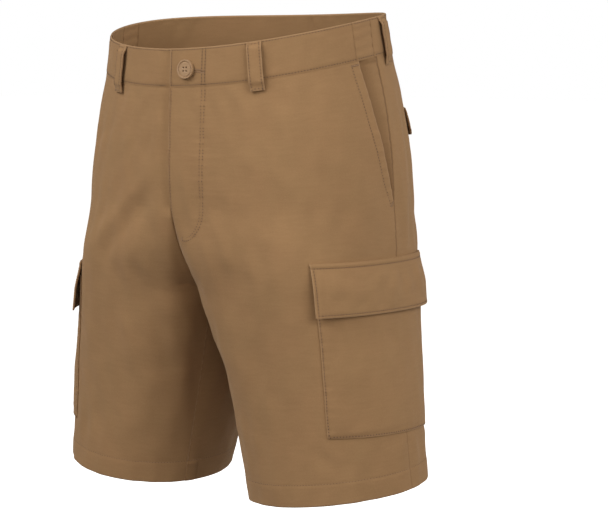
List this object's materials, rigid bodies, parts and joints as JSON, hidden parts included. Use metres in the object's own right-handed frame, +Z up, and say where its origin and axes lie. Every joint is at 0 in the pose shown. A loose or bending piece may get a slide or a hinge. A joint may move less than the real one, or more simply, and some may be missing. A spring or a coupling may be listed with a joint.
{
  "type": "cargo shorts",
  "caption": "Knee-length cotton twill cargo shorts, filled out as if worn: waistband with belt loops and a button, slant front pockets, flap cargo pockets on the legs and seat pocket flaps.",
  "frame": {"origin": "middle of the waist opening, where the wearer's waist holds the shorts up", "axes": "+Z up, +X to the wearer's left, -Y to the front"},
  "size_m": [0.4472, 0.262, 0.5019],
  "materials": {
    "twill": "tan cotton twill, washed, with diagonal ribs",
    "band_twill": "the same twill, folded double",
    "button": "horn-like, semi gloss"
  },
  "bodies": {
    "root": {"front_left": "twill", "back_left": "twill", "pocket_facing_left": "twill", "cargo_pocket_left": "twill", "cargo_flap_left": "twill", "back_flap_left": "twill", "belt_loop_front_left": "twill", "belt_loop_side_left": "twill", "belt_loop_back_left": "twill", "front_right": "twill", "back_right": "twill", "pocket_facing_right": "twill", "cargo_pocket_right": "twill", "cargo_flap_right": "twill", "back_flap_right": "twill", "belt_loop_front_right": "twill", "belt_loop_side_right": "twill", "belt_loop_back_right": "twill", "waistband_back": "band_twill", "waistband_front_left": "band_twill", "waistband_front_right": "band_twill", "waistband_side_left": "band_twill", "waistband_side_right": "band_twill", "waist_button": "button"}
  },
  "joints": []
}
